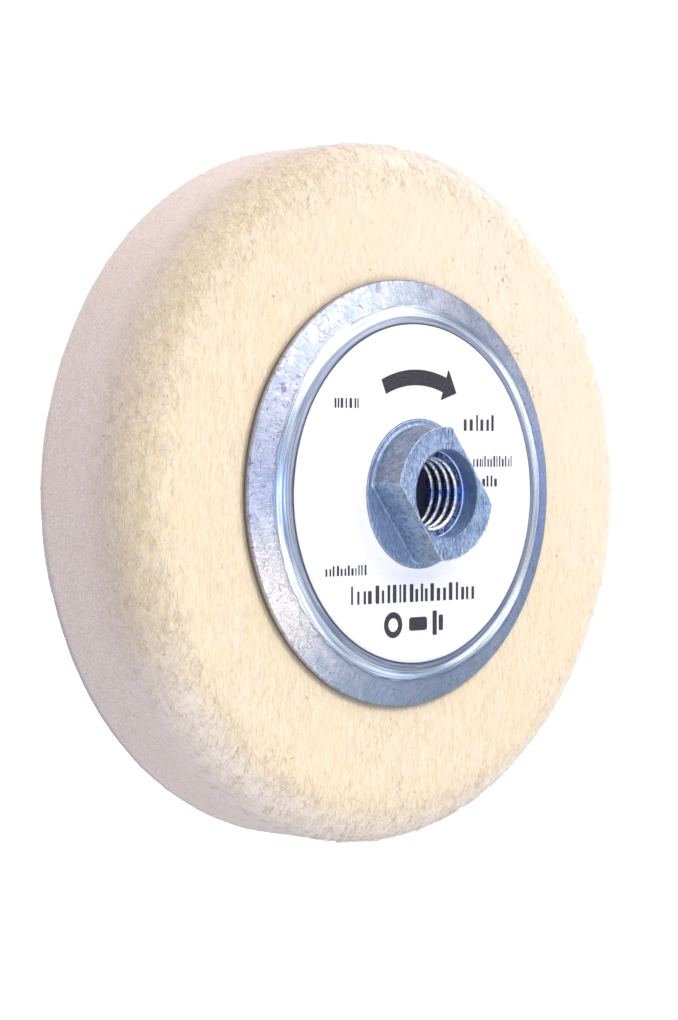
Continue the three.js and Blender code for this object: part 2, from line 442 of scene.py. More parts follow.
def fibre_mesh(name, roots, outward, along, length, lift, curl, thick):
    """Thin curved strands, each a closed three-sided spike, with sizes in millimetres."""
    across = np.cross(outward, along)
    stations = []
    for share in (0.0, 0.5, 1.0):
        forward = along * (length * share)[:, None]
        up = outward * (lift * length * share * (1.6 - 0.9 * share) - 0.06 * (1 - share))[:, None]
        aside = across * (curl * length * share * share)[:, None]
        stations.append(roots + forward + up + aside)
    rings = []
    for station, width in ((0, 1.0), (1, 0.8)):
        for turn in (0, 1, 2):
            angle = turn * 2 * math.pi / 3
            side = across * math.cos(angle) + outward * math.sin(angle)
            rings.append(stations[station] + side * (thick * width)[:, None])
    points = np.stack(rings + [stations[2]], 1).reshape(-1, 3)
    starts = np.arange(len(roots)) * 7
    pattern = [(2, 1, 0)]
    for turn in (0, 1, 2):
        after = (turn + 1) % 3
        pattern.append((turn, after, after + 3, turn + 3))
        pattern.append((turn + 3, after + 3, 6))
    faces = [tuple(start + corner for corner in face) for start in starts.tolist() for face in pattern]
    return add_mesh(name, points, faces, True)


def lay_of_fibres(outward, scatter):
    """Directions along the surface that mostly run up the wheel, turned aside at random."""
    upright = np.array([0.12, 0.25, 1.0])
    along = upright - outward * (outward @ upright)[:, None]
    along += np.cross(outward, along) * (scatter * rng.normal(size=len(outward)))[:, None]
    along *= rng.choice([-1.0, 1.0], len(outward))[:, None]
    return along / np.linalg.norm(along, axis=1)[:, None]


FIBRE_COUNT = 19500


def add_fibres(felt):
    """Raised fuzz: thickest on the shoulder, thinner on the wall and face, sparse at the back."""
    centres, outward = face_places(felt)
    radius = np.hypot(centres[:, 0], centres[:, 2])
    shoulder = on_shoulder(centres) * (1 - 0.8 * rise(centres[:, 0], 10, 50))
    wall = (radius > FELT_RADIUS - 1) * (centres[:, 1] > FELT_FRONT + SHOULDER_RADIUS)
    face = (radius > FLANGE_RADIUS + 1) * (centres[:, 1] < FELT_FRONT + 2) * (1 - shoulder)
    back = (centres[:, 1] > FELT_BACK - 1) * 1.0
    weight = shoulder * 1.0 + wall * 0.35 + face * 0.30 + back * 0.08
    count = FIBRE_COUNT
    chosen = rng.choice(len(centres), count, p=weight / weight.sum())
    tuft = shoulder[chosen]
    fibres = fibre_mesh(
        "felt_fibres",
        centres[chosen],
        outward[chosen],
        lay_of_fibres(outward[chosen], 0.25 + 0.6 * tuft),
        rng.uniform(0.9, 2.2, count) + 0.8 * tuft,
        rng.uniform(0.03, 0.10, count) + 0.20 * tuft * rng.random(count),
        rng.normal(size=count) * 0.25,
        rng.uniform(0.022, 0.040, count) + 0.008 * tuft,
    )
    finish_piece(fibres, None, [fibre_material()])


# Dark lint caught on the felt: x, z, spread in millimetres and number of fibres
LINT = (
    (26.3, 40.6, 1.5, 16),
    (30.7, 27.4, 1.6, 16),
    (34.8, 18.9, 1.2, 9),
    (24.5, 34.0, 3.0, 8),
    (-1.2, -41.2, 1.2, 5),
    (-0.6, -52.6, 1.4, 6),
    (-29.9, -46.0, 1.4, 6),
    (-23.2, 49.0, 1.8, 6),
)


def add_lint(felt):
    centres, outward = face_places(felt)
    in_front = np.flatnonzero(centres[:, 1] < FELT_FRONT + SHOULDER_RADIUS)
    chosen = []
    for x, z, spread, count in LINT:
        for _ in range(count):
            aim = np.array([x, z]) + rng.normal(size=2) * spread
            away = np.hypot(centres[in_front, 0] - aim[0], centres[in_front, 2] - aim[1])
            if aim @ aim > (FLANGE_RADIUS + 0.3) ** 2:
                chosen.append(in_front[away.argmin()])
    chosen = np.array(chosen)
    count = len(chosen)
    lint = fibre_mesh(
        "caught_lint",
        centres[chosen],
        outward[chosen],
        lay_of_fibres(outward[chosen], 1.2),
        rng.uniform(0.5, 1.7, count),
        rng.uniform(0.05, 0.25, count),
        rng.normal(size=count) * 0.5,
        rng.uniform(0.025, 0.05, count),
    )
    finish_piece(lint, None, [lint_material()])


# -------- flange and hub

CAST, HUB, COUNTERBORE, THREAD = 0, 1, 2, 3


def smooth_min(a, b, width):
    """The lower of a and b, with the corner between them rounded over a width."""
    share = np.clip(0.5 + 0.5 * (b - a) / width, 0, 1)
    return b * (1 - share) + a * share - width * share * (1 - share)


def thread_radius(angle, depth):
    """The wall of the right-hand thread at an angle about the axis and a depth."""
    turn_phase = ((depth + THREAD_START) / THREAD_PITCH - angle / (2 * math.pi)) % 1
    root, flank = 1 / 8, 5 / 16
    climb = np.clip(np.abs(turn_phase - 0.5) - root / 2, 0, flank) / flank
    rounded = 0.6 * climb + 0.4 * climb * climb * (3 - 2 * climb)
    return THREAD_MAJOR_RADIUS + (THREAD_MINOR_RADIUS - THREAD_MAJOR_RADIUS) * rounded


class RingStack:
    """Rings of a closed shape, added in order from the bore outwards and round the back."""

    def __init__(self, columns):
        self.columns = columns
        self.angle = np.arange(columns) * 2 * math.pi / columns
        self.radii, self.depths, self.kinds = [], [], []

    def add(self, radius, depth, kind):
        self.radii.append(np.broadcast_to(radius, self.columns))
        self.depths.append(np.broadcast_to(depth, self.columns))
        self.kinds.append(kind)

    def add_points(self, points, kind):
        for radius, depth in points:
            self.add(radius, depth, kind)

    def noise(self, radius, wavelength, seed):
        """Noise that changes round a circle, as cast edges wander."""
        zeros = np.zeros(self.columns)
        places = [radius * np.sin(self.angle), zeros, radius * np.cos(self.angle)]
        return noise_at(np.stack(places, -1), wavelength, seed)

    def mesh(self, name):
        return rings_mesh(name, np.stack(self.radii), np.stack(self.depths), True, self.kinds)


def add_bore(rings):
    """The thread from the back of the casting, its lead-in and the counterbore."""
    for depth in np.arange(FLANGE_BACK, COUNTERBORE_DEPTH, -0.1):
        lead_in = LEAD_IN_RADIUS - (depth - COUNTERBORE_DEPTH) * LEAD_IN_SLOPE
        way_out = THREAD_MAJOR_RADIUS - (FLANGE_BACK - depth) * LEAD_IN_SLOPE
        wall = np.maximum(thread_radius(rings.angle, depth), np.maximum(lead_in, way_out))
        rings.add(wall, depth, THREAD)
    corner, lip = 0.25, 0.14
    for radius in np.linspace(LEAD_IN_RADIUS + 0.04, COUNTERBORE_RADIUS - corner, 3):
        rings.add(radius, COUNTERBORE_DEPTH, THREAD)
    corner_centre = (COUNTERBORE_RADIUS - corner, COUNTERBORE_DEPTH - corner)
    rings.add_points(arc(corner_centre, corner, 70, 0, 4), COUNTERBORE)
    for depth in np.linspace(COUNTERBORE_DEPTH - 0.5, 0.3, 5):
        rings.add(COUNTERBORE_RADIUS, depth, COUNTERBORE)
    rings.add_points(arc((COUNTERBORE_RADIUS + lip, lip), lip, 180, 270, 4), HUB)


def flat_reach_at(angle, depth):
    """How far out the two drafted spanner flats let the hub reach at a depth."""
    facing_flat = np.maximum(np.abs(np.cos(angle - FLAT_ANGLE)), 0.05)
    return np.minimum((HALF_ACROSS_FLATS + FLAT_DRAFT * depth / HUB_HEIGHT) / facing_flat, 40)


def add_hub(rings):
    """The hub's front, its raised flash line, its round and flat sides, and its collar."""
    corner_round = 0.6
    round_edge = np.full(rings.columns, HUB_RADIUS)
    edge = smooth_min(round_edge, flat_reach_at(rings.angle, 0), corner_round)
    edge = edge + 0.05 * rings.noise(HUB_RADIUS, 2.2, 12)
    flash = 0.09 + 0.06 * rings.noise(HUB_RADIUS, 1.1, 11)
    inner = COUNTERBORE_RADIUS + 0.16
    lip = 0.17
    for share in np.linspace(0.04, 0.97, 14):
        radius = inner + (edge - lip - inner) * share
        sag = 0.03 * math.sin(math.pi * share)
        bumps = 0.020 * rings.noise(inner + 4 * share, 1.3, 13) * math.sin(math.pi * share)
        rings.add(radius, sag + bumps, HUB)
    for back, height in ((0.13, 0.45), (0.08, 0.9), (0.04, 1.0), (0.01, 0.85)):
        rings.add(edge - back, -flash * height, HUB)
    for drop, swell in ((0.0, 0.01), (0.08, 0.0), (0.2, -0.03), (0.34, -0.03)):
        rings.add(edge + swell, drop - 0.03, HUB)

    on_flat = rise(HUB_RADIUS - flat_reach_at(rings.angle, COLLAR_TOP), -0.2, 0.9)
    fillet = FOOT_FILLET * (1 - 0.85 * on_flat)
    foot_start = COLLAR_TOP - fillet
    wall_start = 0.36
    for share in np.linspace(0.04, 1, 16):
        depth = wall_start + (foot_start - wall_start) * share
        round_wall = np.full(rings.columns, HUB_RADIUS - 0.03 + HUB_DRAFT * share)
        wall = smooth_min(round_wall, flat_reach_at(rings.angle, depth), corner_round)
        skin = 0.03 * rings.noise(HUB_RADIUS + 3 * share, 1.4, 14)
        rings.add(wall + skin * math.sin(math.pi * share), depth, HUB)
    foot = wall
    for turn in np.radians(np.linspace(15, 90, 6)):
        spread_out = fillet * (1 - math.cos(turn))
        rings.add(foot + spread_out, foot_start + fillet * math.sin(turn), HUB)
    shelf_start = foot + fillet
    edge_round = 0.2
    shelf_end = COLLAR_RADIUS - edge_round
    for share in np.linspace(0.08, 0.98, 10):
        radius = shelf_start + (shelf_end - shelf_start) * share
        uneven = 0.015 * rings.noise(radius.mean(), 1.8, 15)
        rings.add(radius, COLLAR_TOP + uneven, HUB)
    rings.add_points(arc((shelf_end, COLLAR_TOP + edge_round), edge_round, -80, 0, 6), HUB)
    for share in (0.4, 0.8, 1.0):
        depth = COLLAR_TOP + edge_round + (LABEL_SEAT - COLLAR_TOP - edge_round) * share
        rings.add(COLLAR_RADIUS - 0.05 * share, depth, HUB)


def band_edge(angle):
    """Outer radius of the turned band at each angle."""
    return BAND_EDGE_RADIUS + BAND_EDGE_SWING * np.maximum(0, np.cos(angle - BAND_EDGE_TURN)) ** 2


def add_flange_front(rings):
    """The label's seat, the small ring, the turned band, the sloping annulus and the rim."""
    band_top = LABEL_SEAT + SEAT_RING_RISE
    cast_ring_top = RIM_TOP - CAST_RING_RISE
    band_slope = (cast_ring_top - band_top) / (CAST_RING_INNER_RADIUS - TURNED_BAND_INNER_RADIUS)
    for radius in np.linspace(COLLAR_RADIUS + 1, SEAT_RADIUS - 0.1, 5):
        rings.add(radius, LABEL_SEAT, CAST)
    for share in np.linspace(0.06, 0.94, 9):
        radius = SEAT_RADIUS + (TURNED_BAND_INNER_RADIUS - SEAT_RADIUS) * share
        groove = 0.010 * math.cos(share * 22)
        rings.add(radius, LABEL_SEAT + SEAT_RING_RISE * share + groove, CAST)
    band_width = band_edge(rings.angle) - TURNED_BAND_INNER_RADIUS
    for share in np.linspace(0, 1, 25):
        hollow = TURNED_BAND_HOLLOW * 4 * share * (1 - share)
        groove = 0.010 * math.sin(share * 2 * math.pi * BAND_GROOVES) * math.sin(math.pi * share)
        depth = band_top + band_slope * band_width * share + hollow + groove
        rings.add(TURNED_BAND_INNER_RADIUS + band_width * share, depth, CAST)
    band_end = band_top + band_slope * band_width
    wander = 0.07 * rings.noise(FLANGE_RADIUS, 6, 21) + 0.03 * rings.noise(FLANGE_RADIUS, 1.5, 22)
    annulus_start = band_edge(rings.angle)
    for share in np.linspace(0.03, 0.985, 22):
        radius = annulus_start + (FLANGE_RADIUS - annulus_start) * share
        middle = radius.mean()
        skin = 0.018 * rings.noise(middle, 2.4, 23) + 0.010 * rings.noise(middle, 0.9, 24)
        step = 0.035 * rise(share, 0.02, 0.12)
        depth = band_end + (RIM_TOP - band_end) * share
        rings.add(radius + wander * share, depth + skin - step, CAST)
    bevel_centre = (FLANGE_RADIUS - RIM_BEVEL, RIM_TOP + RIM_BEVEL)
    for radius, depth in arc(bevel_centre, RIM_BEVEL, -70, 0, 5):
        rings.add(radius + wander, depth, CAST)
    for depth in np.linspace(RIM_TOP + 0.4, FLANGE_BACK - 0.05, 4):
        rings.add(FLANGE_RADIUS + wander, depth, CAST)
    for radius in np.linspace(FLANGE_RADIUS - 0.2, THREAD_MAJOR_RADIUS + 0.6, 8):
        rings.add(radius, FLANGE_BACK, CAST)


def add_flange():
    rings = RingStack(FLANGE_COLUMNS)
    add_bore(rings)
    add_hub(rings)
    add_flange_front(rings)
    flange = rings.mesh("flange_casting")
    materials = [cast_zinc_material(), hub_material(), counterbore_material(), thread_material()]
    finish_piece(flange, "carrier_flange", materials)


# -------- label, print and adhesive


def add_label():
    """The paper ring. Its inner edge rides up the foot of the hub's collar."""
    hole, paper = LABEL_HOLE_RADIUS, LABEL_SEAT - LABEL_FACE
    climb = [(hole, 0.62), (hole + 0.12, 0.50), (hole + 0.40, 0.26), (hole + 0.85, 0.07)]
    front = [(radius, LABEL_FACE - height) for radius, height in climb]
    under = [(radius + 0.03, LABEL_SEAT - height * 0.9) for radius, height in climb]
    profile = (
        front
        + line((hole + 1.4, LABEL_FACE), (LABEL_RADIUS - 0.04, LABEL_FACE), 0.8)
        + line((LABEL_RADIUS, LABEL_FACE + 0.03), (LABEL_RADIUS, LABEL_SEAT - 0.01), paper / 3)
        + line((LABEL_RADIUS - 0.5, LABEL_SEAT), (hole + 1.5, LABEL_SEAT), 5)
        + under[::-1]
    )
    rings = RingStack(LABEL_COLUMNS)
    cut = 0.06 * rings.noise(LABEL_RADIUS, 14, 41) + 0.03 * rings.noise(LABEL_RADIUS, 3, 42)
    tear = 0.10 * rings.noise(hole, 2.5, 43)
    for radius, depth in profile:
        at_rim = radius > LABEL_RADIUS - 0.1
        raised = max(0.0, LABEL_FACE - depth) * 0.35
        rings.add(radius + cut * at_rim, depth + tear * raised, 0)
    white = (0.93, 0.93, 0.94), (0.97, 0.97, 0.97)
    paper_look = two_tone_material("label_paper", 0.45, (2500, 4, 0.3, 0.7), *white, (0.08, 0.03))
    finish_piece(rings.mesh("label_ring"), "label", [paper_look])


RING_STEPS = 40

# The wheel sign: x, z, outer and inner radius in millimetres
WHEEL_SIGN = (-6.0, -23.1, 2.3, 1.2)

# Plain marks in place of a label's lines: x, z, width, height and stroke in millimetres
MARKS = (
    (-20.4, 15.0, 6.2, 2.4, 0.42),
    (12.1, 11.2, 8.4, 2.9, 0.6),
    (14.6, 4.7, 10.8, 2.0, 0.32),
    (17.0, 1.1, 5.0, 2.0, 0.5),
    (-22.6, -14.1, 10.2, 1.8, 0.36),
    (-16.4, -19.2, 31.5, 3.2, 0.62),
)

# The spindle beside the wheel sign: x, z, width and height in millimetres
SPINDLE_BLOCKS = (
    (-2.0, -24.3, 4.6, 2.4),
    (4.0, -25.3, 1.1, 4.4),
    (5.6, -24.5, 1.1, 2.8),
)


class Print:
    """Flat ink shapes on the label's face, in millimetres: x to the right and z up."""

    def __init__(self):
        self.points, self.faces = [], []

    def strip(self, inner, outer, closes=False):
        """A raised band of ink between two lines of (x, z) points of equal length."""
        count = len(inner)
        start = len(self.points)
        front, back = LABEL_FACE - INK_RISE, LABEL_FACE + INK_RISE
        for depth in (front, back):
            self.points += [(x, depth, z) for x, z in inner]
            self.points += [(x, depth, z) for x, z in outer]
        last = count if closes else count - 1
        for here in range(last):
            ahead = (here + 1) % count
            low, high = start + here, start + ahead
            far_low, far_high = low + count, high + count
            deep = 2 * count
            self.faces.append((low, high, far_high, far_low))
            self.faces.append((far_low + deep, far_high + deep, high + deep, low + deep))
            self.faces.append((high, low, low + deep, high + deep))
            self.faces.append((far_low, far_high, far_high + deep, far_low + deep))
        if not closes:
            for here, turned in ((0, False), (count - 1, True)):
                low = start + here
                end = (low, low + count, low + 3 * count, low + 2 * count)
                self.faces.append(end[::-1] if turned else end)

    def block(self, x, z, width, height):
        """A rounded block with its lower left corner at x, z."""
        corner = min(width, height) * 0.18
        lower, upper = [], []
        for across in (0, 0.3, 1):
            drop = corner * (1 - across) ** 2
            lower.append((x + corner * across, z + drop))
            upper.append((x + corner * across, z + height - drop))
        for across in (1, 0.3, 0):
            drop = corner * (1 - across) ** 2
            lower.append((x + width - corner * across, z + drop))
            upper.append((x + width - corner * across, z + height - drop))
        self.strip(upper, lower)

    def ring(self, x, z, outer, inner):
        angles = np.arange(RING_STEPS) * 2 * math.pi / RING_STEPS
        circle = [(math.sin(a), math.cos(a)) for a in angles]
        self.strip(
            [(x + inner * s, z + inner * c) for s, c in circle],
            [(x + outer * s, z + outer * c) for s, c in circle],
            True,
        )

    def marks(self, x, z, width, height, thickness):
        """A run of plain upright strokes, uneven in height and gap, where a label has a line."""
        at = x
        while at < x + width - thickness:
            tall = height if rng.random() < 0.35 else height * 0.72
            stroke = thickness * rng.uniform(0.7, 1.5)
            self.block(at, z, stroke, tall)
            at += stroke + thickness * rng.uniform(0.7, 1.7)


# The turning arrow: turns about the spin axis, in degrees, and widths in millimetres
ARROW_RADIUS = 20.6
SHAFT_HALF_WIDTH = 1.4
SHAFT_TURNS = np.linspace(-24, 20, 22)
HEAD_TURNS = (20, 21, 29.5)
HEAD_HALF_WIDTHS = (2.9, 2.7, 0.02)


def beside_arrow(turns, half_widths):
    """The inner and the outer line of an arrow bent round the spin axis."""
    lines = []
    for side in (-1, 1):
        reach = [ARROW_RADIUS + side * half for half in half_widths]
        angles = np.radians(turns)
        lines.append([(r * math.sin(a), r * math.cos(a)) for a, r in zip(angles, reach)])
    return lines


def add_print():
    """A turning arrow, a wheel and spindle sign, and plain marks where a label has its lines."""
    ink = Print()
    ink.strip(*beside_arrow(SHAFT_TURNS, [SHAFT_HALF_WIDTH] * len(SHAFT_TURNS)))
    ink.strip(*beside_arrow(HEAD_TURNS, HEAD_HALF_WIDTHS))
    for place_and_size in MARKS:
        ink.marks(*place_and_size)
    ink.ring(*WHEEL_SIGN)
    for place_and_size in SPINDLE_BLOCKS:
        ink.block(*place_and_size)
    piece = add_mesh("label_print", ink.points, ink.faces, False)
    black = (0.022, 0.018, 0.020), (0.07, 0.06, 0.065)
    ink_look = two_tone_material("ink", 0.5, (3000, 4, 0.35, 0.75), *black)
    finish_piece(piece, None, [ink_look])


def add_film():
    """The adhesive, squeezed out unevenly in a bead round the casting's rim."""
    middle = (FILM_FRONT + FILM_BACK) / 2
    bead = (FILM_BACK - FILM_FRONT) / 2
    profile = (
        line((POCKET_RADIUS, FILM_FRONT), (FILM_RADIUS, FILM_FRONT), 4)
        + arc((FILM_RADIUS, middle), bead, -90, 90, 7)
        + line((FILM_RADIUS - 0.5, FILM_BACK), (POCKET_RADIUS, FILM_BACK), 4)
    )
    rings = RingStack(FILM_COLUMNS)
    squeeze = 0.25 * rings.noise(FILM_RADIUS, 3, 31)
    for radius, depth in profile:
        rings.add(radius + squeeze * (radius > FILM_RADIUS - 0.1), depth, 0)
    brown = (0.20, 0.16, 0.12), (0.38, 0.32, 0.25)
    glue_look = two_tone_material("adhesive", 0.5, (900, 3, 0.3, 0.7), *brown, (0.4, 0.1))
    finish_piece(rings.mesh("adhesive_bead"), "adhesive_film", [glue_look])


# -------- materials


class Graph:
    """Short names for the shader nodes that the materials and the world are made of.

    Lengths that come from the nodes are in metres, patterns are in cells per metre, and a
    colour is a tuple of red, green and blue.
    """

    def __init__(self, owner, shader=None):
        self.owner, self.shader = owner, shader
        self.nodes, self.links = owner.node_tree.nodes, owner.node_tree.links
        self.place = self.nodes.new("ShaderNodeTexCoord").outputs["Object"]

    def put(self, socket, value):
        """Links a socket to a node's output, or sets it to a number or a colour."""
        if isinstance(value, bpy.types.NodeSocket):
            self.links.new(value, socket)
        elif isinstance(value, tuple):
            socket.default_value = (*value, 1)
        else:
            socket.default_value = value

    def node(self, kind, inputs):
        """A new node, with its inputs linked or set."""
        node = self.nodes.new("ShaderNode" + kind)
        for name, value in inputs.items():
            self.put(node.inputs[name], value)
        return node

    def split(self, vector):
        node = self.nodes.new("ShaderNodeSeparateXYZ")
        self.links.new(vector, node.inputs[0])
        return node.outputs

    def scaled(self, per_metre, turn=(0, 0, 0)):
        """The place on the piece, turned and then scaled along x, y and z."""
        mapping = self.node("Mapping", {"Vector": self.place})
        mapping.inputs["Scale"].default_value = per_metre
        mapping.inputs["Rotation"].default_value = turn
        return mapping.outputs[0]

    def noise(self, vector, detail=3.0, roughness=0.5, distortion=0.0):
        inputs = {"Vector": vector, "Scale": 1.0, "Detail": detail, "Roughness": roughness}
        inputs["Distortion"] = distortion
        return self.node("TexNoise", inputs).outputs["Fac"]

    def even_noise(self, per_metre, detail=3.0, roughness=0.5, distortion=0.0):
        return self.noise(self.scaled([per_metre] * 3), detail, roughness, distortion)

    def stretched_noise(self, per_metre, turn, detail, roughness, distortion=0.0):
        return self.noise(self.scaled(per_metre, turn), detail, roughness, distortion)

    def noise_over(self, first, second, detail, roughness, distortion=0.0):
        """Noise over two values, such as a radius and an angle."""
        place = self.node("CombineXYZ", {"X": first, "Y": second})
        return self.noise(place.outputs[0], detail, roughness, distortion)

    def spots(self, per_metre, share, size):
        """Distance to the nearest spot's centre, and that spot's own size, in cells.

        Only the given share of the cells has a spot.
        """
        place = self.scaled([per_metre] * 3)
        texture = self.node("TexVoronoi", {"Vector": place, "Scale": 1.0})
        chance = self.nodes.new("ShaderNodeSeparateColor")
        self.links.new(texture.outputs["Color"], chance.inputs[0])
        own = self.spread(chance.outputs[0], 1 - share, 1.0, 0.0, size)
        return texture.outputs["Distance"], own

    def math(self, operation, a, b=0.0, third=0.0):
        node = self.nodes.new("ShaderNodeMath")
        node.operation = operation
        self.put(node.inputs[0], a)
        self.put(node.inputs[1], b)
        self.put(node.inputs[2], third)
        return node.outputs[0]

    def times(self, a, b):
        return self.math("MULTIPLY", a, b)

    def plus(self, a, b):
        return self.math("ADD", a, b)

    def minus(self, a, b):
        return self.math("SUBTRACT", a, b)

    def spread(self, value, low, high, out_low=0.0, out_high=1.0):
        """out_low where a value is at low, out_high at high and smooth between."""
        ends = {"From Min": low, "From Max": high, "To Min": out_low, "To Max": out_high}
        node = self.node("MapRange", {"Value": value, **ends})
        node.interpolation_type = "SMOOTHSTEP"
        return node.outputs[0]

    def along(self, length, low, high, out_low=0.0, out_high=1.0):
        """As spread, but for a length, with low and high in millimetres."""
        return self.spread(length, low * MM, high * MM, out_low, out_high)

    def mix(self, share, a, b):
        node = self.nodes.new("ShaderNodeMix")
        node.data_type = "RGBA"
        self.put(node.inputs["Factor"], share)
        self.put(node.inputs[6], a)
        self.put(node.inputs[7], b)
        return node.outputs[2]

    def two_tone(self, value, low, high, dark, light):
        """One colour below low, another above high and a blend between."""
        return self.mix(self.spread(value, low, high), dark, light)

    def layer(self, under, value, low, high, strength, colour):
        """A colour laid over what is under it, more and more from low to high."""
        return self.mix(self.spread(value, low, high, 0.0, strength), under, colour)

    def stain(self, under, mask, strength, colour):
        """A colour laid over what is under it, where a mask from 0 to 1 says."""
        return self.mix(self.times(mask, strength), under, colour)

    def bump(self, height, strength, distance, under=None):
        """Fine relief, with its distance in millimetres, over the relief under it."""
        inputs = {"Strength": strength, "Distance": distance * MM, "Height": height}
        if under is not None:
            inputs["Normal"] = under
        return self.node("Bump", inputs).outputs[0]

    def axis_radius(self):
        """Distance from the spin axis, in metres."""
        place = self.split(self.place)
        across = self.times(place["X"], place["X"])
        up = self.times(place["Z"], place["Z"])
        return self.math("SQRT", self.plus(across, up))

    def cover(self, colour, roughness=None, relief=None):
        """Joins the looks made here to the material's shader, and gives back the material."""
        looks = {"Base Color": colour, "Roughness": roughness, "Normal": relief}
        for name, value in looks.items():
            if value is not None:
                self.put(self.shader.inputs[name], value)
        return self.owner


def two_tone_material(name, roughness, grain, dark, light, relief=None):
    """A material of two colours mixed by an even noise, which can also give it fine relief."""
    graph = Graph(*new_material(name, roughness))
    per_metre, detail, low, high = grain
    noise_value = graph.even_noise(per_metre, detail, 0.6)
    colour = graph.two_tone(noise_value, low, high, dark, light)
    return graph.cover(colour, relief=relief and graph.bump(noise_value, *relief))


# How far in front of the felt's back the painted shade by the flange and in the pocket stops, in
# millimetres
BARE_DEPTH = 6.6

# Size of the cast skin's flow marks and the turned band's fine lines
FLOW_PER_RADIAN = 83.6
FLOW_PER_METRE = 650
GROOVES_PER_METRE = 3600


def felt_material():
    graph = Graph(*new_material("wool_felt", 0.92))
    place = graph.split(graph.place)
    radius = graph.axis_radius()
    facing = graph.split(graph.nodes.new("ShaderNodeNewGeometry").outputs["Normal"])
    frontal = graph.math("ABSOLUTE", facing["Y"])
    on_face = graph.spread(frontal, 0.80, 0.98)
    tufts = graph.stretched_noise((900, 800, 380), (0.5, 0.5, 0), 5, 0.7, 0.5)
    unevenness = graph.spread(tufts, 0.3, 0.7, -0.25, 0.25)
    on_wall = graph.spread(graph.plus(frontal, unevenness), 0.80, 0.0)
    near_front = graph.along(place["Y"], FELT_FRONT + SHOULDER_RADIUS + 7, FELT_FRONT + 4)
    rounding = graph.times(graph.spread(frontal, 0.99, 0.80), near_front)

    # Strands that run up the wheel on its face, and cross each other elsewhere
    streaks = graph.stretched_noise((3800, 1600, 640), (0, 0.05, 0), 5, 0.7, 0.4)
    broad_streaks = graph.stretched_noise((1000, 500, 190), (0, 0.03, 0), 3, 0.55, 0.4)
    fuzz_one_way = graph.stretched_noise((3800, 3800, 1000), (0.6, 0.5, 0), 4, 0.7, 0.3)
    fuzz_other_way = graph.stretched_noise((3800, 3800, 1000), (-0.7, -0.5, 0), 4, 0.7, 0.3)
    fuzz = graph.mix(0.5, fuzz_one_way, fuzz_other_way)
    clouds = graph.even_noise(70, 3, 0.5)
    fine = graph.mix(on_face, fuzz, streaks)
    broad = graph.mix(on_face, tufts, broad_streaks)

    # The wool's own shades, from the shadow between strands to the palest strands
    shadow, plain, pale = (0.74, 0.59, 0.38), (0.87, 0.735, 0.50), (0.94, 0.845, 0.66)
    colour = graph.two_tone(fine, 0.34, 0.50, shadow, plain)
    colour = graph.two_tone(fine, 0.50, 0.68, colour, pale)
    colour = graph.layer(colour, broad, 0.52, 0.70, 0.55, pale)
    colour = graph.layer(colour, broad, 0.46, 0.30, 0.35, (0.82, 0.66, 0.39))
    colour = graph.layer(colour, clouds, 0.42, 0.70, 0.40, (0.90, 0.75, 0.45))

    # Painted light: the felt paler towards the upper right, where the light falls
    upper_right = graph.plus(place["X"], place["Z"])
    painted_light_side = graph.along(upper_right, 0, 70, 0.0, 0.35)
    colour = graph.mix(painted_light_side, colour, (0.95, 0.86, 0.69))

    # The wall's nap, tinted pinker partly as painted shade
    nap = graph.even_noise(2600, 5, 0.75, 0.4)
    pink_shaded_nap = graph.two_tone(nap, 0.40, 0.60, (0.78, 0.62, 0.50), (0.98, 0.84, 0.72))
    colour = graph.stain(colour, on_wall, 0.85, pink_shaded_nap)

    # The shoulder is darker and tangled to the upper left, and elsewhere painted paler as painted
    # light
    to_left = graph.minus(graph.times(place["Z"], 0.45), graph.times(place["X"], 0.9))
    upper_left_shoulder = graph.times(rounding, graph.along(to_left, 26, 50, 0.05, 1.0))
    tangle = graph.times(upper_left_shoulder, graph.spread(fine, 0.56, 0.44))
    colour = graph.stain(colour, tangle, 0.50, (0.62, 0.48, 0.28))
    patches = graph.times(upper_left_shoulder, graph.spread(tufts, 0.54, 0.42))
    colour = graph.stain(colour, patches, 0.40, (0.76, 0.61, 0.34))
    painted_light_shoulder = graph.times(rounding, graph.along(to_left, 46, 22, 0.0, 0.75))
    painted_light_shoulder = graph.times(painted_light_shoulder, graph.spread(fine, 0.38, 0.52, 0.45, 1.0))
    colour = graph.mix(painted_light_shoulder, colour, (1.0, 0.90, 0.77))

    # Painted shade on the wall's back edge, mostly low down
    at_back = graph.along(place["Y"], FELT_BACK - 3.0, FELT_BACK - 1.6)
    back_edge_shade = graph.times(at_back, graph.along(place["Z"], 30, -30))
    back_edge_shade = graph.times(back_edge_shade, graph.spread(frontal, 0.85, 0.45, 0.0, 0.55))
    colour = graph.mix(back_edge_shade, colour, (0.30, 0.30, 0.42))

    # Specks, painted shade with some grime on the felt around the flange's rim, and painted shade in
    # the pocket
    away, size = graph.spots(260, 0.34, 0.080)
    speck = graph.math("LESS_THAN", away, size)
    colour = graph.stain(colour, speck, 0.5, (0.20, 0.14, 0.09))
    ragged_radius = graph.plus(radius, graph.times(fine, 1 * MM))
    rim_grime_and_shade = graph.along(ragged_radius, FLANGE_RADIUS + 1.6, FLANGE_RADIUS + 0.8)
    low_left = graph.along(upper_right, 15, -15, 0.15, 0.6)
    behind_flange = graph.math("LESS_THAN", place["Y"], (FELT_BACK - BARE_DEPTH) * MM)
    rim_grime_and_shade = graph.times(rim_grime_and_shade, behind_flange)
    colour = graph.mix(graph.times(rim_grime_and_shade, low_left), colour, (0.36, 0.31, 0.24))
    pocket_shade = graph.math("LESS_THAN", radius, (POCKET_RADIUS + 0.3) * MM)
    pocket_shade = graph.times(pocket_shade, behind_flange)
    colour = graph.stain(colour, pocket_shade, 0.9, (0.22, 0.24, 0.40))

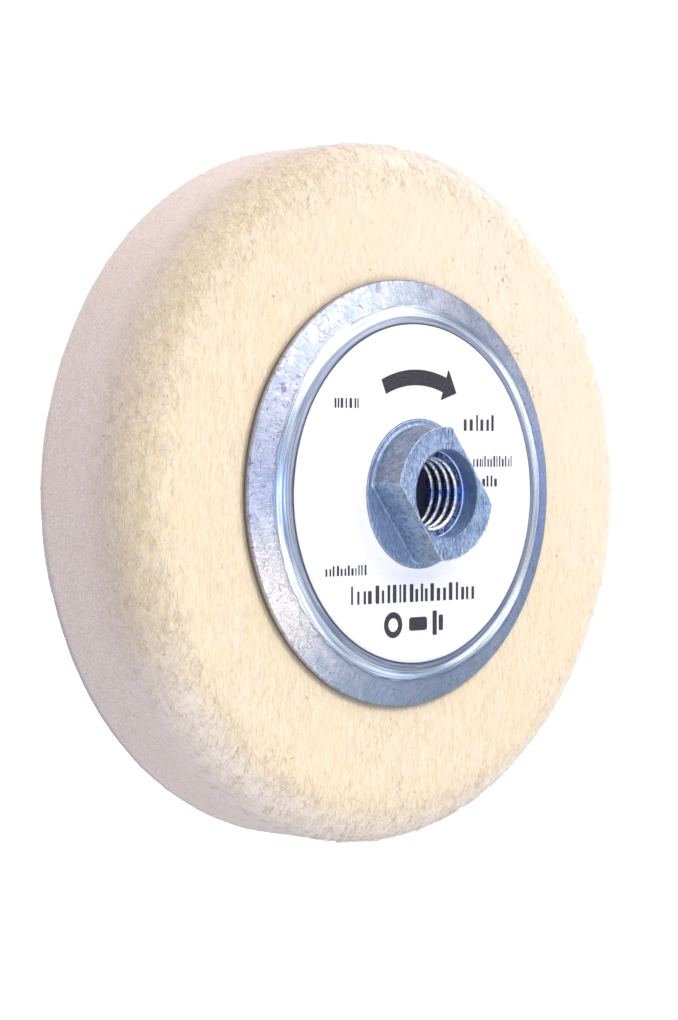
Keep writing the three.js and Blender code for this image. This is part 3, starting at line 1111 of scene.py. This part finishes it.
    relief = graph.bump(broad, 0.4, 0.5, graph.bump(fine, 0.4, 0.22))
    graph.shader.inputs["Sheen Weight"].default_value = 0.45
    graph.shader.inputs["Sheen Roughness"].default_value = 0.35
    graph.shader.inputs["Sheen Tint"].default_value = (0.98, 0.94, 1.0, 1)
    graph.shader.inputs["Specular IOR Level"].default_value = 0.2
    return graph.cover(colour, relief=relief)


def fibre_material():
    graph = Graph(*new_material("wool_fibre", 0.8))
    along = graph.even_noise(500, 2, 0.5)
    colour = graph.two_tone(along, 0.35, 0.65, (0.90, 0.79, 0.60), (1.0, 0.95, 0.85))
    graph.shader.inputs["Sheen Weight"].default_value = 0.3
    return graph.cover(colour, graph.spread(along, 0.35, 0.65, 0.9, 0.65))


def lint_material():
    graph = Graph(*new_material("dark_lint", 0.85))
    along = graph.even_noise(700, 2, 0.5)
    colour = graph.two_tone(along, 0.35, 0.65, (0.10, 0.07, 0.06), (0.34, 0.25, 0.19))
    return graph.cover(colour)


def cast_zinc_material():
    graph = Graph(*new_material("cast_zinc", 0.4, 1.0))
    place = graph.split(graph.place)
    radius = graph.axis_radius()
    angle = graph.math("ARCTAN2", place["X"], place["Z"])

    ragged = graph.even_noise(330, 4, 0.6)
    uneven = graph.even_noise(75, 2, 0.5)
    wander = graph.times(graph.spread(ragged, 0.3, 0.7, -1.0, 1.0), 0.18 * MM)
    lean = graph.times(graph.spread(uneven, 0.3, 0.7, -1.0, 1.0), 0.15 * MM)
    swing = graph.math("COSINE", graph.minus(angle, BAND_EDGE_TURN))
    swing = graph.math("POWER", graph.math("MAXIMUM", swing, 0.0), 2.0)
    edge = graph.math("MULTIPLY_ADD", swing, BAND_EDGE_SWING * MM, third=BAND_EDGE_RADIUS * MM)
    ragged_radius = graph.plus(radius, graph.plus(wander, lean))
    beyond = graph.minus(ragged_radius, edge)
    inside = graph.along(beyond, 0.02, 0.12, 1.0, 0.0)
    band_start = TURNED_BAND_INNER_RADIUS
    turned = graph.times(inside, graph.along(radius, band_start - 0.05, band_start + 0.05))
    small_ring = graph.math("LESS_THAN", radius, band_start * MM)

    # The cast skin: flow marks that run outwards, speckles and clouds
    round_axis, outwards = graph.times(angle, FLOW_PER_RADIAN), graph.times(radius, FLOW_PER_METRE)
    flow = graph.noise_over(round_axis, outwards, 5, 0.7, 0.5)
    speckle = graph.even_noise(2800, 4, 0.7, 0.5)
    clouds = graph.even_noise(190, 4, 0.6, 0.6)
    skin = graph.two_tone(clouds, 0.34, 0.66, (0.33, 0.40, 0.49), (0.52, 0.55, 0.65))
    skin = graph.layer(skin, flow, 0.52, 0.66, 0.65, (0.74, 0.75, 0.80))
    skin = graph.layer(skin, flow, 0.46, 0.34, 0.65, (0.24, 0.27, 0.37))
    skin = graph.layer(skin, speckle, 0.54, 0.70, 0.50, (0.76, 0.77, 0.82))
    skin = graph.layer(skin, speckle, 0.45, 0.32, 0.65, (0.18, 0.19, 0.28))
    # Painted shade: the skin darker towards the lower right
    lower_right = graph.minus(place["X"], place["Z"])
    skin = graph.mix(graph.along(lower_right, 0, 45, 0.0, 0.55), skin, (0.26, 0.33, 0.41))

    # A painted warm reflection on the skin, broken up by the speckle
    warm_turn = graph.math("COSINE", graph.minus(angle, WARM_REFLECTION_TURN))
    broken = graph.spread(speckle, 0.42, 0.58, 0.1, 1.0)
    painted_warm_reflection = graph.times(graph.spread(warm_turn, 0.90, 0.995), broken)
    skin = graph.stain(skin, painted_warm_reflection, 0.60, (0.80, 0.69, 0.57))

    # Flakes, outlined marks, scratches, and the rim's wall painted brownish-dark as painted shade and
    # a painted reflection of the felt
    flakes = graph.even_noise(330, 6, 0.6, 0.4)
    flaked = graph.spread(flakes, 0.655, 0.665)
    skin = graph.stain(skin, flaked, 0.70, (0.24, 0.24, 0.33))
    marks = graph.even_noise(420, 2, 0.5, 1.2)
    near_level = graph.math("ABSOLUTE", graph.minus(marks, 0.60))
    outline = graph.times(graph.spread(near_level, 0.020, 0.008), graph.spread(clouds, 0.45, 0.52))
    skin = graph.stain(skin, outline, 0.75, (0.16, 0.15, 0.22))
    scratch = graph.stretched_noise((2400, 2400, 90), (0, 0.5, 0), 2, 0.5, 0.3)
    scratched = graph.spread(scratch, 0.715, 0.735)
    skin = graph.stain(skin, scratched, 0.6, (0.13, 0.13, 0.18))
    # Painted shade and a painted reflection of the felt on the rim's wall
    on_rim_wall = graph.along(place["Y"], RIM_TOP + 0.15, RIM_TOP + 0.35)
    skin = graph.stain(skin, on_rim_wall, 0.85, (0.36, 0.31, 0.27))

    # The turned band, and the duller ring between it and the label
    across_grooves, round_axis = graph.times(radius, GROOVES_PER_METRE), graph.times(angle, 1.5)
    grooves = graph.noise_over(across_grooves, round_axis, 3, 0.7)
    metal = graph.two_tone(grooves, 0.40, 0.56, (0.27, 0.34, 0.45), (0.66, 0.74, 0.83))
    boundary = graph.times(graph.along(beyond, -0.22, -0.08), graph.spread(uneven, 0.44, 0.54))
    metal = graph.stain(metal, boundary, 0.7, (0.22, 0.20, 0.22))
    dull = graph.two_tone(grooves, 0.38, 0.60, (0.18, 0.22, 0.29), (0.42, 0.47, 0.55))
    # Painted shade in the seam at the label's edge
    label_seam_shade = graph.along(radius, SEAT_RADIUS + 0.08, SEAT_RADIUS - 0.06)
    dull = graph.stain(dull, label_seam_shade, 0.8, (0.10, 0.09, 0.15))
    colour = graph.mix(small_ring, graph.mix(turned, skin, metal), dull)

    skin_rough = graph.spread(flow, 0.3, 0.7, 0.36, 0.26)
    rough = graph.mix(turned, skin_rough, graph.spread(grooves, 0.3, 0.7, 0.30, 0.16))
    rough = graph.mix(small_ring, rough, (0.5, 0.5, 0.5))
    relief = graph.bump(graph.mix(turned, speckle, grooves), 0.4, 0.06)
    relief = graph.bump(graph.mix(turned, skin, (0, 0, 0)), 0.3, 0.08, relief)
    return graph.cover(colour, rough, relief)


def hub_material():
    graph = Graph(*new_material("hub_zinc", 0.42, 1.0))
    place = graph.split(graph.place)
    on_front = graph.along(place["Y"], 0.30, 0.10)
    flash_highlight = graph.along(place["Y"], -0.05, -0.09)
    speckle = graph.even_noise(2300, 4, 0.7, 0.6)
    mottle = graph.even_noise(620, 5, 0.65, 1.6)
    clouds = graph.even_noise(240, 3, 0.55, 0.6)
    flecks = graph.stretched_noise((2600, 1200, 900), (0, 0.6, 0), 5, 0.7, 0.5)

    # The front: blotched, flecked, pitted and scratched
    front = graph.two_tone(mottle, 0.32, 0.68, (0.32, 0.43, 0.55), (0.52, 0.64, 0.76))
    front = graph.layer(front, clouds, 0.50, 0.60, 0.5, (0.62, 0.75, 0.84))
    front = graph.layer(front, clouds, 0.46, 0.38, 0.6, (0.24, 0.33, 0.46))
    front = graph.layer(front, flecks, 0.51, 0.62, 0.85, (0.84, 0.90, 0.95))
    front = graph.layer(front, flecks, 0.46, 0.36, 0.75, (0.14, 0.20, 0.31))
    pits = graph.spread(speckle, 0.42, 0.30)
    front = graph.stain(front, pits, 0.85, (0.09, 0.12, 0.20))
    scratch = graph.stretched_noise((2600, 2600, 160), (0, 0.9, 0), 2, 0.5, 0.3)
    front = graph.layer(front, scratch, 0.64, 0.66, 0.8, (0.13, 0.15, 0.23))

    # The round side, darker than the front as painted shade, and the spanner flats and the collar's
    # shelf, painted lighter as painted reflection
    side = graph.two_tone(mottle, 0.35, 0.65, (0.19, 0.235, 0.32), (0.32, 0.37, 0.47))
    side = graph.layer(side, clouds, 0.50, 0.64, 0.45, (0.27, 0.25, 0.28))
    side = graph.layer(side, flecks, 0.52, 0.64, 0.5, (0.42, 0.47, 0.56))
    aside = graph.times(place["X"], math.sin(FLAT_ANGLE))
    across_flats = graph.plus(aside, graph.times(place["Z"], math.cos(FLAT_ANGLE)))
    from_middle = graph.math("ABSOLUTE", across_flats)
    on_flat = graph.along(from_middle, HALF_ACROSS_FLATS - 0.3, HALF_ACROSS_FLATS - 0.1)
    flats_painted_light = graph.two_tone(mottle, 0.35, 0.65, (0.24, 0.34, 0.45), (0.38, 0.50, 0.63))
    flats_painted_light = graph.layer(flats_painted_light, flecks, 0.47, 0.38, 0.7, (0.12, 0.17, 0.25))
    flats_painted_light = graph.layer(flats_painted_light, flecks, 0.54, 0.64, 0.5, (0.46, 0.58, 0.70))
    side = graph.stain(side, on_flat, 0.85, flats_painted_light)
    shelf = graph.two_tone(flecks, 0.40, 0.60, (0.27, 0.37, 0.54), (0.49, 0.60, 0.77))
    on_collar = graph.along(place["Y"], COLLAR_TOP - 0.5, COLLAR_TOP - 0.2)
    side = graph.stain(side, on_collar, 0.8, shelf)
    side = graph.stain(side, pits, 0.5, (0.11, 0.13, 0.20))

    # The counterbore's dark rim on the front
    rim = graph.along(graph.axis_radius(), COUNTERBORE_RADIUS + 0.40, COUNTERBORE_RADIUS + 0.15)
    rim = graph.times(rim, graph.spread(mottle, 0.40, 0.55, 0.2, 0.8))
    front = graph.mix(rim, front, (0.11, 0.16, 0.26))
    colour = graph.mix(on_front, side, front)
    # A painted highlight in cream along the raised flash line
    colour = graph.mix(flash_highlight, colour, (0.95, 0.90, 0.80))

    rough = graph.mix(on_front, graph.spread(mottle, 0.3, 0.7, 0.55, 0.42), (0.42, 0.42, 0.42))
    relief = graph.bump(mottle, 0.4, 0.15, graph.bump(speckle, 0.4, 0.07))
    return graph.cover(colour, rough, relief)


def counterbore_material():
    graph = Graph(*new_material("counterbore", 0.32, 1.0))
    mottle = graph.even_noise(600, 4, 0.6, 0.8)
    lines = graph.stretched_noise((300, 5200, 300), (0, 0, 0), 3, 0.6)
    colour = graph.two_tone(mottle, 0.3, 0.7, (0.44, 0.62, 0.90), (0.68, 0.84, 1.0))
    rough = graph.spread(lines, 0.3, 0.7, 0.5, 0.38)
    return graph.cover(colour, rough, graph.bump(lines, 0.25, 0.04))


def thread_material():
    graph = Graph(*new_material("cut_thread", 0.18, 1.0))
    # Bright crests, and roots painted dark as painted shade, flecked with painted glints
    chatter = graph.stretched_noise((1500, 2600, 1500), (0, 0, 0), 5, 0.75)
    blotches = graph.even_noise(900, 4, 0.6, 1.0)
    bright = graph.two_tone(chatter, 0.38, 0.60, (0.34, 0.38, 0.48), (0.90, 0.92, 0.96))
    root_shade = graph.two_tone(blotches, 0.40, 0.60, (0.03, 0.04, 0.09), (0.13, 0.16, 0.27))
    root_shade = graph.layer(root_shade, chatter, 0.58, 0.68, 0.5, (0.55, 0.60, 0.75))
    near_crest = graph.along(graph.axis_radius(), THREAD_MAJOR_RADIUS - 0.4, THREAD_MAJOR_RADIUS - 0.8)
    colour = graph.mix(near_crest, root_shade, bright)

    # A blue glint in the thread at the height of the spin axis
    level = graph.math("ABSOLUTE", graph.split(graph.place)["Z"])
    glint = graph.times(graph.along(level, 1.5, 0.4), graph.spread(blotches, 0.40, 0.55))
    colour = graph.stain(colour, glint, 0.75, (0.02, 0.16, 0.55))
    rough = graph.spread(chatter, 0.3, 0.7, 0.40, 0.20)
    return graph.cover(colour, rough, graph.bump(chatter, 0.5, 0.12))


# -------- the scene

add_camera()
add_world()
add_floor()
wheel_felt = add_felt()
add_fibres(wheel_felt)
add_lint(wheel_felt)
add_flange()
add_label()
add_print()
add_film()

bpy.context.scene.view_settings.view_transform = "Standard"
